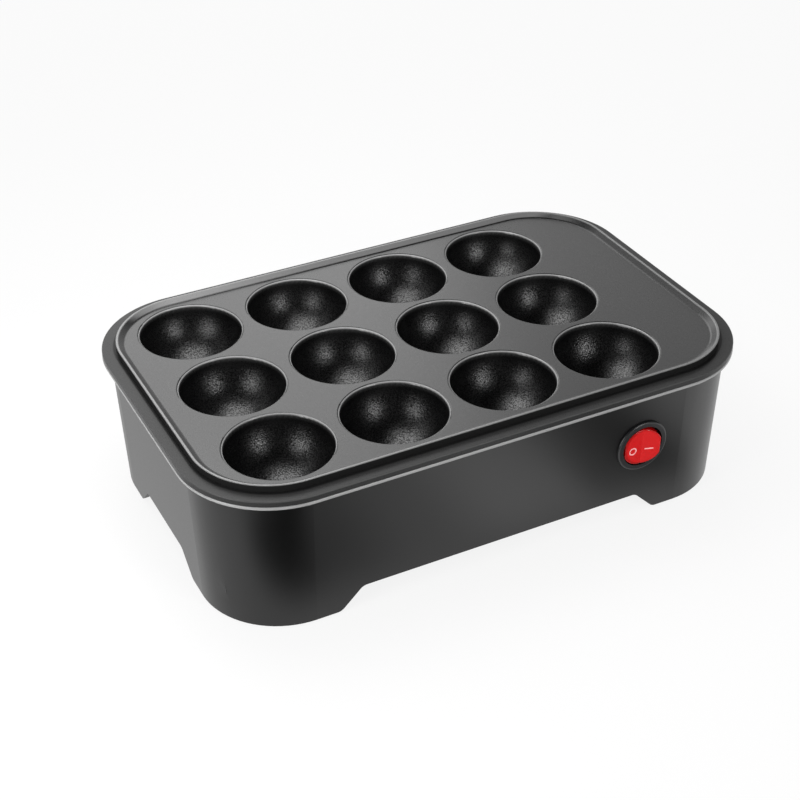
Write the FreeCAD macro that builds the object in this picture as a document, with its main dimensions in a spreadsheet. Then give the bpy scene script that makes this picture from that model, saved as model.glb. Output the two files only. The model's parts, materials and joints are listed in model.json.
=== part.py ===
import FreeCAD, Part
import math
import os
import re
import Sketcher

# Takoyaki maker: a counter-top cooker with twelve round cups over a sheathed heating tube.
# Millimetres. Origin on the ground under the middle, +X along the long side, front at -Y, +Z up.

SIZES = {
    # Cups and top plate
    "columns": 4,
    "rows": 3,
    "col_pitch": 47.85,
    "row_pitch": 45.86,
    "cup_radius": 21.0,
    "cup_wall": 2.0,
    "cup_round": 1.0,
    "left_margin": 32.5,
    "right_margin": 52.2,
    "side_margin": 26.94,
    "lip_corner": 32.8,
    "lip_rise": 1.8,
    "lip_width": 0.9,
    "lip_slope": 2.4,
    "lip_edge_round": 0.35,
    "lip_foot_round": 1.6,
    "flange_reach": 5.85,
    "flange_drop": 1.1,
    "flange_edge": 2.3,
    "flange_round": 0.5,
    "spigot_gap": 0.4,
    "spigot_wall": 2.0,
    "spigot_depth": 3.0,
    # Housing
    "stand": 0.8,
    "plate_height": 63.9,
    "rim_reach": 5.95,
    "rim_height": 1.6,
    "rim_round": 0.6,
    "wall_foot_reach": 0.65,
    "draft": 1.94,
    "wall_thick": 2.4,
    "notch_height": 9.4,
    "notch_slope": 9.3,
    "foot_length": 43.7,
    "foot_breadth": 44.4,
    "notch_round": 4.0,
    "post_inset": 10.88,
    "post_radius": 4.5,
    "post_pilot": 14.0,
    "rib_thick": 2.5,
    "lug_drop": 18.7,
    "lug_thick": 3.0,
    "lug_width": 12.0,
    "lug_inset": 6.3,
    "lug_land": 6.0,
    # Bottom cover and feet
    "cover_recess": 1.0,
    "cover_thick": 2.0,
    "cover_gap": 0.4,
    "vent_count": 11,
    "vent_pitch": 12.0,
    "vent_width": 3.0,
    "vent_length": 28.0,
    "vent_start": -80.0,
    "vent_row": 20.0,
    "pad_top_radius": 8.5,
    "pad_base_radius": 7.0,
    "pad_bore": 4.2,
    "pad_bore_depth": 5.2,
    # Screws
    "screw_gap": 0.05,
    "snug_gap": 0.1,
    "loose_gap": 0.2,
    "lug_gap": 0.3,
    "recess_reach": 1.2,
    "recess_share": 0.25,
    "small_screw": 1.5,
    "small_head": 3.2,
    "small_head_height": 2.0,
    "plate_screw": 1.9,
    "plate_head": 3.7,
    "plate_head_height": 2.4,
    "plate_screw_length": 16.0,
    "plate_boss": 4.0,
    "washer_thick": 0.8,
    "washer_radius": 4.4,
    "cover_screw_length": 19.0,
    "short_screw_length": 5.8,
    "stub_screw_length": 4.8,
    "bar_screw_length": 11.5,
    # Heating tube
    "tube_radius": 3.3,
    "tube_depth": 15.0,
    "tube_tail": 26.0,
    "saddle_length": 18.0,
    "saddle_width": 7.0,
    "saddle_gap": 0.1,
    "strap_thick": 0.9,
    "clamp_screw_step": 6.5,
    "clamp_screw": 1.2,
    "clamp_head": 2.0,
    "clamp_head_height": 1.4,
    "clamp_screw_length": 8.0,
    "bead_radius": 3.0,
    "bead_length": 5.0,
    "pin_radius": 1.2,
    "pin_length": 14.0,
    # Heat shield
    "shield_thick": 0.8,
    "shield_depth": 5.0,
    "shield_left": 103.0,
    "shield_right": 82.0,
    "shield_inset": 8.5,
    "shield_corner": 8.0,
    "shield_tab": 5.0,
    "shield_relief": 17.0,
    "shield_relief_depth": 12.0,
    # Thermostat and fuse
    "thermostat_step": 36.6,
    "thermostat_pad": 3.0,
    "thermostat_pad_radius": 9.0,
    "cap_radius": 8.0,
    "cap_height": 4.0,
    "phenolic_radius": 7.5,
    "phenolic_height": 9.0,
    "bracket_half": 15.5,
    "bracket_width": 8.5,
    "bracket_thick": 0.8,
    "bracket_step": 12.0,
    "bracket_boss": 3.2,
    "tab_width": 6.3,
    "tab_thick": 0.8,
    "tab_length": 9.0,
    "tab_step": 3.3,
    "fuse_radius": 2.2,
    "fuse_length": 13.0,
    "fuse_lead": 0.5,
    "fuse_lead_length": 21.0,
    "fuse_y": 36.5,
    "fuse_gap": 0.3,
    "fuse_screw_step": 8.0,
    "clip_width": 8.0,
    "earth_y": 40.0,
    "earth_boss_height": 6.3,
    # Rocker switch
    "switch_head": 19.1,
    "switch_hole_gap": 0.15,
    "bezel_reach": 1.5,
    "bezel_rise": 1.2,
    "bezel_round": 0.8,
    "barrel_radius": 10.0,
    "barrel_depth": 13.5,
    "barrel_back": 1.5,
    "barrel_wall": 0.85,
    "clip_reach": 0.9,
    "clip_length": 5.0,
    "clip_gap": 0.2,
    "pivot_depth": 2.0,
    "pivot_radius": 1.2,
    "pivot_gap": 0.05,
    "pivot_cover": 0.15,
    "rocker_gap": 0.45,
    "rocker_side": 0.3,
    "rocker_lip": 2.45,
    "rocker_valley": 1.2,
    "rocker_back": 4.5,
    "rocker_tilt": 9.0,
    "rocker_edge_round": 0.35,
    "rocker_edge_band": 2.5,
    "rocker_stock": 1.0,
    "pivot_root": 1.0,
    "bush_radius": 2.2,
    "bush_end": 6.0,
    "bush_bore": 1.4,
    "bush_bore_top": 2.8,
    "plunger_radius": 1.3,
    "plunger_seat": 5.0,
    "plunger_tip": 6.7,
    "tip_share": 0.7,
    "spring_radius": 0.95,
    "spring_wire": 0.15,
    "spring_turns": 5,
    "blade_face": 9.0,
    "blade_thick": 0.5,
    "blade_half": 5.5,
    "blade_width": 3.0,
    "blade_tilt": 6.0,
    "bead_pin": 0.6,
    "bead_pin_length": 5.0,
    "ear_thick": 0.8,
    "ear_gap": 0.3,
    "tag_step": 5.0,
    "tag_width": 4.8,
    "tag_length": 8.0,
    "contact_gap": 0.35,
    "lamp_radius": 1.5,
    "lamp_length": 9.0,
    "lamp_inset": 3.65,
    "lamp_depth": 8.0,
    "resistor_radius": 1.1,
    "resistor_length": 6.0,
    # Cord inlet and wiring
    "gland_inset": 3.325,
    "gland_z": 24.0,
    "gland_bore": 3.6,
    "gland_neck": 5.5,
    "gland_flange": 8.0,
    "gland_lip": 2.6,
    "gland_snap": 0.9,
    "gland_tail": 6.0,
    "cord_clamp_y": 52.0,
    "cord_clamp_half": 13.0,
    "cord_clamp_width": 8.0,
    "cord_clamp_height": 5.5,
    "cord_clamp_step": 9.0,
    "cord_bed": 3.7,
    "block_y": 34.0,
    "block_length": 30.0,
    "block_width": 17.0,
    "block_height": 13.0,
    "pole_pitch": 9.0,
    "block_screw": 1.8,
    "pole_gap": 0.4,
    "slug_gap": 0.5,
    "slug_notch": 1.0,
    "wire_radius": 1.1,
    "wire_height": 7.0,
    "wire_bend": 4.0,
    "wire_gap": 0.9,
    "wire_lift": 4.0,
    "wire_room": 0.45,
    "end_run": 6.0,
    "tab_run": 5.0,
    "tag_run": 8.0,
    "tag_fall": 5.0,
    "live_run": 15.0,
    "live_turn": 22.0,
    "switched_turn": 30.0,
    "fuse_bend_near": 10.0,
    "fuse_bend_middle": 18.5,
    "fuse_bend_far": 20.0,
    "heater_step": 5.5,
    "heater_fall": 8.0,
    "heater_turn": 16.0,
    "neutral_run": 10.0,
    "neutral_turn": 17.0,
    "neutral_fall": 15.0,
    "lamp_run": 12.0,
    "lamp_turn": 20.0,
    "lamp_fall": 8.0,
    "lamp_step": 2.0,
    "lamp_sink": 3.0,
    "earth_run": 11.0,
    "earth_step": 2.0,
    "earth_turn": 22.0,
    "earth_climb": 14.0,
}

# Levels and places worked out from the sizes
PLACES = {
    "lip_length": "left_margin + (columns - 1) * col_pitch + right_margin",
    "lip_breadth": "2 * side_margin + (rows - 1) * row_pitch",
    "first_col_x": "left_margin - lip_length / 2",
    "last_col_x": "first_col_x + (columns - 1) * col_pitch",
    "first_row_y": "-(rows - 1) * row_pitch / 2",
    "gap_left_x": "first_col_x + col_pitch / 2",
    "gap_right_x": "last_col_x - col_pitch / 2",
    "tube_y": "row_pitch / 2",
    "plate_level": "stand + plate_height",
    "lip_top": "plate_level + lip_rise",
    "flange_top": "plate_level - flange_drop",
    "rim_top": "flange_top - flange_edge",
    "rim_base": "rim_top - rim_height",
    "cup_level": "plate_level - cup_round",
    "dome_radius": "cup_radius + cup_wall",
    "lean": "tan(draft * 1deg)",
    "wall_top_reach": "wall_foot_reach + (rim_top - stand) * lean",
    "spigot_reach": "wall_top_reach - wall_thick - spigot_gap - spigot_depth * lean",
    "notch_top": "stand + notch_height",
    "notch_half_x": "lip_length / 2 + wall_foot_reach - foot_length",
    "notch_half_y": "lip_breadth / 2 + wall_foot_reach - foot_breadth",
    "cover_base": "notch_top + cover_recess",
    "cover_top": "cover_base + cover_thick",
    "cover_reach": "wall_foot_reach + (cover_base - stand) * lean - wall_thick - cover_gap",
    "tube_z": "cup_level - tube_depth",
    "tube_end_x": "last_col_x + tube_tail",
    "lug_top": "plate_level - lug_drop",
    "lug_base": "lug_top - lug_thick",
    "lug_y": "lip_breadth / 2 - lug_inset",
    "shield_half": "lug_y - shield_inset",
    "shield_floor": "lug_base - shield_depth",
    "post_top": "shield_floor - 2 * shield_thick",
    "post_step": "(lip_corner - post_inset) / sqrt(2)",
    "post_x": "lip_length / 2 - lip_corner + post_step",
    "post_y": "lip_breadth / 2 - lip_corner + post_step",
    "mid_wall": "wall_foot_reach + (post_top - stand) * lean - wall_thick / 2",
    "rib_end_x": "lip_length / 2 - lip_corner + sqrt((lip_corner + mid_wall) ^ 2 - post_step ^ 2)",
    "lug_end_y": "lip_breadth / 2 + wall_foot_reach + (lug_top - stand) * lean - wall_thick / 2",
    "washer_top": "lug_base - shield_thick",
    "head_top": "washer_top - washer_thick",
    "thermostat_x": "last_col_x + thermostat_step",
    "cap_top": "rim_top - thermostat_pad",
    "cap_base": "cap_top - cap_height",
    "phenolic_base": "cap_base - phenolic_height",
    "tab_end": "phenolic_base - tab_length",
    "fuse_z": "rim_top - fuse_gap - fuse_radius",
    "clip_top": "fuse_z - fuse_radius",
    "earth_seat": "rim_top - earth_boss_height",
    "switch_x": "last_col_x",
    "switch_z": "plate_level - switch_head - barrel_radius",
    "switch_y": "-(lip_breadth / 2 + wall_foot_reach + (switch_z - stand) * lean)",
    "switch_hole": "barrel_radius + switch_hole_gap",
    "bezel_radius": "barrel_radius + bezel_reach",
    "opening_radius": "barrel_radius - barrel_wall",
    "rocker_sweep": "opening_radius - rocker_gap",
    "rocker_radius": "rocker_sweep - rocker_side",
    "pivot_length": "barrel_radius - pivot_cover",
    "lamp_rise": "opening_radius - lamp_inset",
    "tag_end": "barrel_depth + tag_length",
    "blade_back": "blade_face + blade_thick",
    "contact_face": "blade_back + blade_half * sin(blade_tilt * 1deg) + contact_gap",
    "gland_x": "lip_length / 2 - lip_corner - gland_inset",
    "gland_wall_y": "lip_breadth / 2 + wall_foot_reach + (gland_z - stand) * lean",
    "block_front": "block_y - block_width / 2 - wire_gap",
    "pole_z": "cover_top + wire_height",
}

FULL_TURN = 360
HALF_TURN = 180
CLOSE = 1e-3
UP = FreeCAD.Vector(0, 0, 1)
NODES = []
CUTS = []

doc = FreeCAD.newDocument("takoyaki_maker")
sheet = doc.addObject("Spreadsheet::Sheet", "dims")
for row, (size_name, size) in enumerate(SIZES.items(), start=1):
    sheet.set("A%d" % row, size_name)
    sheet.set("B%d" % row, str(size))
    sheet.setAlias("B%d" % row, size_name)
doc.recompute()


def link(text):
    """Turns the names of sizes and places into an expression on the sheet's cells."""
    def swap(match):
        word = match.group(0)
        if word in SIZES:
            return "dims." + word
        if word in PLACES:
            return "(" + link(PLACES[word]) + ")"
        return word
    return re.sub(r"[A-Za-z_]\w*", swap, text)


def val(text):
    return float(sheet.evalExpression(link(text)))


def bind(thing, **sizes):
    for name, text in sizes.items():
        thing.setExpression(name, link(text))


def place(thing, x, y, z, turn="rotationz(0deg)"):
    thing.setExpression("Placement", link("placement(vector(%s; %s; %s); %s)" % (x, y, z, turn)))
    return thing


def node(thing, name):
    thing.Label = name
    NODES.append(thing)
    return thing


# Bodies, sketches and features

def new_body(name):
    return node(doc.addObject("PartDesign::Body", name), name)


def origin_part(body, role):
    return [part for part in body.Origin.OriginFeatures if part.Role == role][0]


def sketch_on(body, role, name, lift="0", along="0"):
    """A sketch on an origin plane, lifted along the plane's normal and slid along its own x."""
    sketch = body.newObject("Sketcher::SketchObject", name)
    sketch.AttachmentSupport = [(origin_part(body, role), "")]
    sketch.MapMode = "FlatFace"
    sketch.setExpression("AttachmentOffset.Base.z", link(lift))
    sketch.setExpression("AttachmentOffset.Base.x", link(along))
    return sketch


def drive(sketch, text, *rule):
    """Adds a constraint whose value follows an expression."""
    index = sketch.addConstraint(Sketcher.Constraint(*rule, val(text)))
    sketch.setExpression("Constraints[%d]" % index, link(text))


def pin_point(sketch, geometry, end, x, y):
    """Holds one point of a sketch at two distances from its origin."""
    drive(sketch, x, "DistanceX", -1, 1, geometry, end)
    drive(sketch, y, "DistanceY", -1, 1, geometry, end)


def circle(sketch, x, y, radius):
    centre = FreeCAD.Vector(val(x), val(y), 0)
    ring = sketch.addGeometry(Part.Circle(centre, UP, val(radius)), False)
    pin_point(sketch, ring, 3, x, y)
    drive(sketch, radius, "Radius", ring)


def polygon(sketch, points):
    corners = [FreeCAD.Vector(val(x), val(y), 0) for x, y in points]
    sides = []
    for corner, following in zip(corners, corners[1:] + corners[:1]):
        sides.append(sketch.addGeometry(Part.LineSegment(corner, following), False))
    for side, following in zip(sides, sides[1:] + sides[:1]):
        sketch.addConstraint(Sketcher.Constraint("Coincident", side, 2, following, 1))
    for side, (x, y) in zip(sides, points):
        pin_point(sketch, side, 1, x, y)


def rectangle(sketch, x, y, half_length, half_width):
    left, right = "(%s) - (%s)" % (x, half_length), "(%s) + (%s)" % (x, half_length)
    low, high = "(%s) - (%s)" % (y, half_width), "(%s) + (%s)" % (y, half_width)
    polygon(sketch, [(left, low), (right, low), (right, high), (left, high)])


def rounded_rectangle(sketch, half_length, half_width, radius, x="0"):
    """Four sides and four corner arcs, tangent all round, about a point on the x axis."""
    centre, long_half, wide_half, bend = val(x), val(half_length), val(half_width), val(radius)
    point = FreeCAD.Vector
    ends = [
        (point(centre - long_half + bend, -wide_half), point(centre + long_half - bend, -wide_half)),
        (point(centre + long_half, -wide_half + bend), point(centre + long_half, wide_half - bend)),
        (point(centre + long_half - bend, wide_half), point(centre - long_half + bend, wide_half)),
        (point(centre - long_half, wide_half - bend), point(centre - long_half, -wide_half + bend)),
    ]
    sides = [sketch.addGeometry(Part.LineSegment(*pair), False) for pair in ends]
    arcs = []
    for quarter, (across, along) in enumerate([(1, -1), (1, 1), (-1, 1), (-1, -1)]):
        middle = point(centre + across * (long_half - bend), along * (wide_half - bend))
        start = math.radians(-90 + 90 * quarter)
        arc = Part.ArcOfCircle(Part.Circle(middle, UP, bend), start, start + math.pi / 2)
        arcs.append(sketch.addGeometry(arc, False))
    rules = []
    for index, side in enumerate(sides):
        rules.append(Sketcher.Constraint("Tangent", side, 2, arcs[index], 1))
        rules.append(Sketcher.Constraint("Tangent", arcs[index], 2, sides[(index + 1) % 4], 1))
    rules += [Sketcher.Constraint("Horizontal", sides[0]), Sketcher.Constraint("Horizontal", sides[2])]
    rules += [Sketcher.Constraint("Vertical", sides[1]), Sketcher.Constraint("Vertical", sides[3])]
    rules += [Sketcher.Constraint("Equal", arcs[0], arc) for arc in arcs[1:]]
    sketch.addConstraint(rules)
    drive(sketch, "%s + (%s)" % (x, half_length), "DistanceX", -1, 1, sides[1], 1)
    drive(sketch, "%s - (%s)" % (x, half_length), "DistanceX", -1, 1, sides[3], 1)
    drive(sketch, half_width, "DistanceY", -1, 1, sides[2], 1)
    drive(sketch, "-(%s)" % half_width, "DistanceY", -1, 1, sides[0], 1)
    drive(sketch, radius, "Radius", arcs[0])


def outline(body, name, reach, level):
    """The lip's rounded outline, moved out by a reach, on a level."""
    sketch = sketch_on(body, "XY_Plane", name, level)
    rounded_rectangle(sketch, "lip_length / 2 + (%s)" % reach, "lip_breadth / 2 + (%s)" % reach,
                      "lip_corner + (%s)" % reach)
    return sketch


def pad(body, sketch, length, both=False, flip=False):
    feature = body.newObject("PartDesign::Pad", sketch.Name + "_pad")
    feature.Profile = sketch
    bind(feature, Length=length)
    feature.Midplane = both
    feature.Reversed = flip
    return feature


def pocket(body, sketch, length=None, both=False, flip=False):
    feature = body.newObject("PartDesign::Pocket", sketch.Name + "_pocket")
    feature.Profile = sketch
    if length is None:
        feature.Type = "ThroughAll"
    else:
        bind(feature, Length=length)
    feature.Midplane = both
    feature.Reversed = flip
    CUTS.append(feature)
    return feature


def loft(body, sketches, cut=False):
    kind = "PartDesign::SubtractiveLoft" if cut else "PartDesign::AdditiveLoft"
    feature = body.newObject(kind, sketches[0].Name + "_loft")
    feature.Profile = sketches[0]
    feature.Sections = sketches[1:]
    feature.Ruled = True
    if cut:
        CUTS.append(feature)
    return feature


def revolve(body, sketch, cut=False, turn=FULL_TURN):
    kind = "PartDesign::Groove" if cut else "PartDesign::Revolution"
    feature = body.newObject(kind, sketch.Name + "_turned")
    feature.Profile = sketch
    feature.ReferenceAxis = (sketch, ["V_Axis"])
    feature.Angle = turn
    if cut:
        CUTS.append(feature)
    return feature


def grid(body, feature, name, steps):
    """Repeats a feature in rows: each step is an axis, a count and a spacing."""
    repeat = body.newObject("PartDesign::MultiTransform", name)
    patterns = []
    for axis, count, spacing in steps:
        pattern = body.newObject("PartDesign::LinearPattern", name + "_" + axis[0].lower())
        pattern.Direction = (origin_part(body, axis), [""])
        pattern.Mode = "Spacing"
        bind(pattern, Occurrences=count, Offset=spacing)
        patterns.append(pattern)
    repeat.Originals = [feature]
    repeat.Transformations = patterns
    body.Tip = repeat
    return repeat


def fillet(body, radius, chosen):
    """Rounds the edges of the body's last feature that a test chooses."""
    doc.recompute()
    base = body.Tip
    names = ["Edge%d" % (index + 1) for index, edge in enumerate(base.Shape.Edges) if chosen(edge)]
    feature = body.newObject("PartDesign::Fillet", base.Name + "_fillet")
    feature.Base = (base, names)
    bind(feature, Radius=radius)
    body.Tip = feature
    return feature


def level_edge(edge, level):
    return abs(edge.BoundBox.ZMin - level) < CLOSE and abs(edge.BoundBox.ZMax - level) < CLOSE


# Part primitives

def cylinder(name, radius, height, x="0", y="0", z="0", turn="rotationz(0deg)"):
    thing = doc.addObject("Part::Cylinder", name)
    bind(thing, Radius=radius, Height=height)
    return place(thing, x, y, z, turn)


def box(name, length, width, height, x="0", y="0", z="0"):
    """A box centred on x and y that starts at z."""
    thing = doc.addObject("Part::Box", name)
    bind(thing, Length=length, Width=width, Height=height)
    return place(thing, "%s - (%s) / 2" % (x, length), "%s - (%s) / 2" % (y, width), z)


def cut(name, base, tool):
    thing = doc.addObject("Part::Cut", name)
    thing.Base = base
    thing.Tool = tool
    return thing


def fuse(name, shapes):
    thing = doc.addObject("Part::MultiFuse", name)
    thing.Shapes = shapes
    return thing


def group(name, master, spots):
    """One node of separate, identical solids: linked copies of a master at several places."""
    copies = []
    for index, spot in enumerate(spots):
        copy = doc.addObject("App::Link", "%s_%d" % (name, index + 1))
        copy.LinkedObject = master
        copy.LinkTransform = True
        copies.append(place(copy, *spot))
    together = doc.addObject("Part::Compound", name)
    together.Links = copies
    return node(together, name)


def collect(name, things):
    together = doc.addObject("Part::Compound", name)
    together.Links = things
    return node(together, name)


def screw(name, radius, length, head, head_height):
    """A pan-head screw pointing up, its head's underside at its origin, with a cross recess."""
    shank = cylinder(name + "_shank", radius, length)
    cap = cylinder(name + "_cap", head, head_height, z="-(%s)" % head_height)
    solid = fuse(name + "_solid", [shank, cap])
    wide, narrow, deep = head + " * recess_reach", head + " * recess_share", "%s / 2" % head_height
    slots = [
        box(name + "_slot_x", wide, narrow, deep, z="-(%s)" % head_height),
        box(name + "_slot_y", narrow, wide, deep, z="-(%s)" % head_height),
    ]
    return cut(name, solid, fuse(name + "_slots", slots))


SIDES = ("-1", "1")
QUARTERS = [(across, along) for across in SIDES for along in SIDES]


# Housing: a drafted shell with a flared rim, four corner feet, posts and lugs

def make_housing():
    body = new_body("housing")
    foot = outline(body, "wall_foot", "wall_foot_reach", "stand")
    loft(body, [foot, outline(body, "wall_head", "wall_top_reach", "rim_top")])
    pad(body, outline(body, "rim", "rim_reach", "rim_base"), "rim_height")
    rim_levels = (val("rim_base"), val("rim_top"))
    length_edge = val("lip_length / 2 + rim_reach") - CLOSE
    breadth_edge = val("lip_breadth / 2 + rim_reach") - CLOSE

    def rim_edge(edge):
        extent = edge.BoundBox
        outside = max(abs(extent.XMin), abs(extent.XMax)) > length_edge
        outside = outside or max(abs(extent.YMin), abs(extent.YMax)) > breadth_edge
        return outside and any(level_edge(edge, level) for level in rim_levels)

    fillet(body, "rim_round", rim_edge)
    inner_foot = outline(body, "cavity_foot", "wall_foot_reach - wall_thick", "stand")
    inner_head = outline(body, "cavity_head", "wall_top_reach - wall_thick", "rim_top")
    loft(body, [inner_foot, inner_head], cut=True)

    posts = sketch_on(body, "XY_Plane", "posts", "cover_top")
    pilots = sketch_on(body, "XY_Plane", "post_pilots", "cover_top")
    ribs = sketch_on(body, "XY_Plane", "post_ribs", "cover_top")
    for across, along in QUARTERS:
        x, y = across + " * post_x", along + " * post_y"
        circle(posts, x, y, "post_radius")
        circle(pilots, x, y, "small_screw + screw_gap")
        middle = across + " * (post_x + rib_end_x) / 2"
        rectangle(ribs, middle, y, "(rib_end_x - post_x) / 2", "rib_thick / 2")
    pad(body, posts, "post_top - cover_top")
    pad(body, ribs, "post_top - cover_top")
    pocket(body, pilots, "post_pilot", flip=True)

    lugs = sketch_on(body, "XY_Plane", "lugs", "lug_base")
    for column in ("gap_left_x", "gap_right_x"):
        for along in SIDES:
            middle = along + " * (lug_y - lug_land + lug_end_y) / 2"
            rectangle(lugs, column, middle, "lug_width / 2", "(lug_end_y - lug_y + lug_land) / 2")
            circle(lugs, column, along + " * lug_y", "plate_screw + lug_gap")
    pad(body, lugs, "lug_thick")

    front_notch = sketch_on(body, "XZ_Plane", "front_notch")
    side_notch = sketch_on(body, "YZ_Plane", "side_notch")
    for sketch, half in ((front_notch, "notch_half_x"), (side_notch, "notch_half_y")):
        polygon(sketch, [("-%s" % half, "0"), (half, "0"), (half, "stand"),
                         (half + " - notch_slope", "notch_top"), ("notch_slope - %s" % half, "notch_top"),
                         ("-%s" % half, "stand")])
        pocket(body, sketch, both=True)
    corners = []
    for half, axis in (("notch_half_x", "x"), ("notch_half_y", "y")):
        corners.append((axis, val(half), val("stand")))
        corners.append((axis, val(half + " - notch_slope"), val("notch_top")))

    def notch_edge(edge):
        extent = edge.BoundBox
        for axis, distance, level in corners:
            low, high = (extent.XMin, extent.XMax) if axis == "x" else (extent.YMin, extent.YMax)
            if level_edge(edge, level) and high - low < CLOSE and abs(abs(low) - distance) < CLOSE:
                return True
        return False

    fillet(body, "notch_round", notch_edge)

    hole = sketch_on(body, "XZ_Plane", "switch_hole")
    circle(hole, "switch_x", "switch_z", "switch_hole")
    pocket(body, hole, "lip_breadth", flip=True)
    inlet = sketch_on(body, "XZ_Plane", "inlet_hole")
    circle(inlet, "gland_x", "gland_z", "gland_neck + loose_gap")
    pocket(body, inlet, "lip_breadth")


# Cooking plate: one casting with cups, lip, flange, locating skirt, bosses and tube saddles

def make_cooking_plate():
    body = new_body("cooking_plate")
    pad(body, outline(body, "flange", "flange_reach", "rim_top"), "flange_edge")
    flange_top = val("flange_top")
    fillet(body, "flange_round", lambda edge: level_edge(edge, flange_top))
    pad(body, outline(body, "lip", "0", "rim_top"), "lip_top - rim_top")
    well = outline(body, "tray_floor", "-lip_width - lip_slope", "plate_level")
    loft(body, [well, outline(body, "tray_mouth", "-lip_width", "lip_top")], cut=True)
    lip_top, plate_level = val("lip_top"), val("plate_level")
    fillet(body, "lip_edge_round", lambda edge: level_edge(edge, lip_top))
    fillet(body, "lip_foot_round", lambda edge: level_edge(edge, plate_level))

    skirt = outline(body, "skirt", "spigot_reach", "rim_top - spigot_depth")
    inner = " + spigot_reach - spigot_wall"
    rounded_rectangle(skirt, "lip_length / 2" + inner, "lip_breadth / 2" + inner, "lip_corner" + inner)
    pad(body, skirt, "spigot_depth")

    dome = sketch_on(body, "XZ_Plane", "dome", "-first_row_y", "first_col_x")
    round_profile(dome, "dome_radius", "cup_level")
    cups = (("X_Axis", "columns", "col_pitch"), ("Y_Axis", "rows", "row_pitch"))
    grid(body, revolve(body, dome), "domes", cups)
    cup = sketch_on(body, "XZ_Plane", "cup", "-first_row_y", "first_col_x")
    cup_profile(cup)
    grid(body, revolve(body, cup, cut=True), "cups", cups)

    bosses = sketch_on(body, "XY_Plane", "screw_bosses", "lug_top")
    pilots = sketch_on(body, "XY_Plane", "boss_pilots", "lug_top")
    for column in ("gap_left_x", "gap_right_x"):
        for along in SIDES:
            circle(bosses, column, along + " * lug_y", "plate_boss")
            circle(pilots, column, along + " * lug_y", "plate_screw + screw_gap")
    pad(body, bosses, "rim_top - lug_top")
    pocket(body, pilots, "plate_screw_length - lug_thick", flip=True)

    saddles = sketch_on(body, "XY_Plane", "saddles", "tube_z")
    strap_pilots = sketch_on(body, "XY_Plane", "strap_pilots", "tube_z")
    for column in ("gap_left_x", "gap_right_x"):
        for along in SIDES:
            rectangle(saddles, column, along + " * tube_y", "saddle_width / 2", "saddle_length / 2")
            for step in SIDES:
                circle(strap_pilots, column, "%s * tube_y + %s * clamp_screw_step" % (along, step),
                       "clamp_screw + screw_gap")
    pad(body, saddles, "rim_top - tube_z")
    pocket(body, strap_pilots, "clamp_screw_length", flip=True)
    channel = sketch_on(body, "YZ_Plane", "tube_channel")
    for along in SIDES:
        circle(channel, along + " * tube_y", "tube_z", "tube_radius + saddle_gap")
    pocket(body, channel, both=True)

    seat = sketch_on(body, "XY_Plane", "thermostat_seat", "cap_top")
    circle(seat, "thermostat_x", "0", "thermostat_pad_radius")
    pad(body, seat, "rim_top - cap_top")
    legs = sketch_on(body, "XY_Plane", "thermostat_legs", "cap_base")
    leg_pilots = sketch_on(body, "XY_Plane", "leg_pilots", "cap_base")
    for along in SIDES:
        circle(legs, "thermostat_x", along + " * bracket_step", "bracket_boss")
        circle(leg_pilots, "thermostat_x", along + " * bracket_step", "small_screw + screw_gap")
    pad(body, legs, "rim_top - cap_base")
    pocket(body, leg_pilots, "cap_height + thermostat_pad", flip=True)

    small_bosses(body, "fuse_boss", "thermostat_x + fuse_screw_step", "fuse_y", "clip_top")
    small_bosses(body, "earth_boss", "thermostat_x", "-earth_y", "earth_seat")


def small_bosses(body, name, x, y, seat):
    boss = sketch_on(body, "XY_Plane", name, seat)
    circle(boss, x, y, "bracket_boss")
    pad(body, boss, "rim_top - " + seat)
    pilot = sketch_on(body, "XY_Plane", name + "_pilot", seat)
    circle(pilot, x, y, "small_screw + screw_gap")
    pocket(body, pilot, "rim_top - " + seat, flip=True)


def round_profile(sketch, radius, level):
    """A quarter disc under a level, its flat edge on that level, to be turned about the sketch's y."""
    size, height = val(radius), val(level)
    centre = FreeCAD.Vector(0, height, 0)
    axis = sketch.addGeometry(Part.LineSegment(centre, FreeCAD.Vector(0, height - size, 0)), False)
    bowl = Part.ArcOfCircle(Part.Circle(centre, UP, size), -math.pi / 2, 0)
    arc = sketch.addGeometry(bowl, False)
    top = sketch.addGeometry(Part.LineSegment(FreeCAD.Vector(size, height, 0), centre), False)
    sketch.addConstraint([
        Sketcher.Constraint("Coincident", axis, 2, arc, 1),
        Sketcher.Constraint("Coincident", arc, 2, top, 1),
        Sketcher.Constraint("Coincident", top, 2, axis, 1),
        Sketcher.Constraint("Coincident", arc, 3, axis, 1),
        Sketcher.Constraint("Vertical", axis),
        Sketcher.Constraint("Horizontal", top),
    ])
    pin_point(sketch, axis, 1, "0", level)
    drive(sketch, radius, "Radius", arc)


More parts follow.
